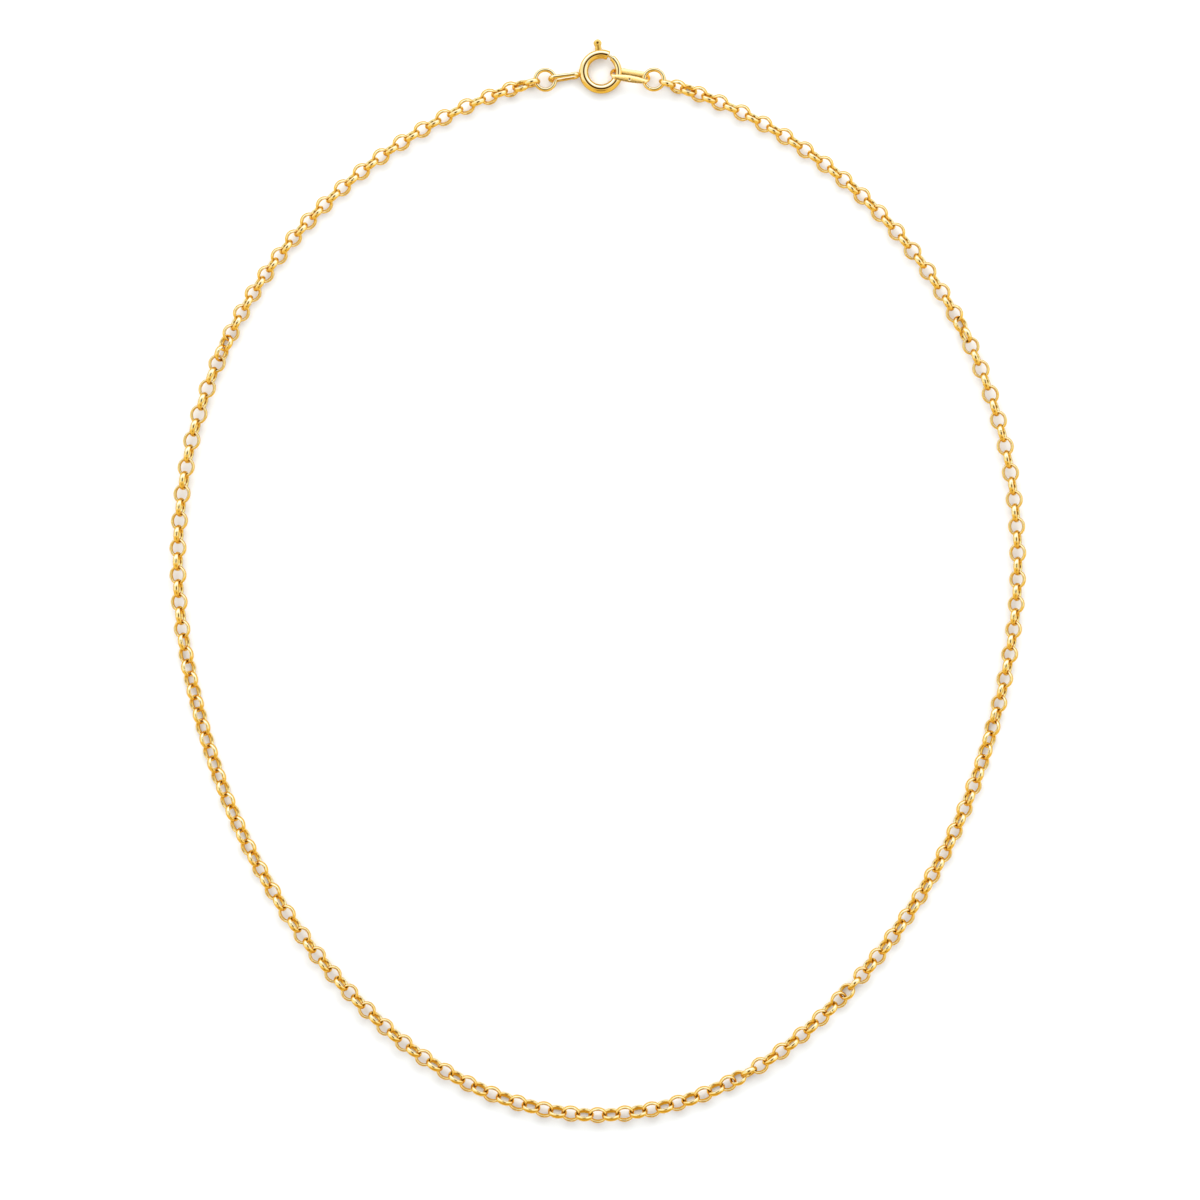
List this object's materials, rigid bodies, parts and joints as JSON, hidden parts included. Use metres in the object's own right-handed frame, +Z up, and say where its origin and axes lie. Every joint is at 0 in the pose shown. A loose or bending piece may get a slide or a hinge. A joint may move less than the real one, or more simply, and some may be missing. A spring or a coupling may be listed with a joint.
{
  "type": "rolo chain necklace",
  "caption": "Gold rolo chain necklace of round links lying flat and on edge by turns, closed with a spring ring clasp and laid as a rounded loop.",
  "frame": {"origin": "middle of the laid loop's outline, on the surface that the necklace lies on", "axes": "+Y towards the clasp, +X towards the right strand as seen from above, +Z up off the surface"},
  "size_m": [0.1336, 0.1691, 0.0027],
  "materials": {
    "chain_gold": "polished yellow gold",
    "clasp_gold": "polished yellow gold"
  },
  "bodies": {
    "necklace": {"chain_left": "chain_gold", "chain_right": "chain_gold", "jump_ring_left": "clasp_gold", "jump_ring_right": "clasp_gold", "clasp_case": "clasp_gold", "catch_tag": "clasp_gold"},
    "bolt": {"clasp_bolt": "clasp_gold"}
  },
  "joints": [
    {"name": "bolt_travel", "type": "hinge", "parent": "necklace", "child": "bolt", "pos_m": [0.0005, 0.07957, 0.00098], "axis": [0, 0, 1], "range_deg": [0, 68], "stiffness_Nm_per_rad": 0.002, "springref_deg": -34.38}
  ]
}
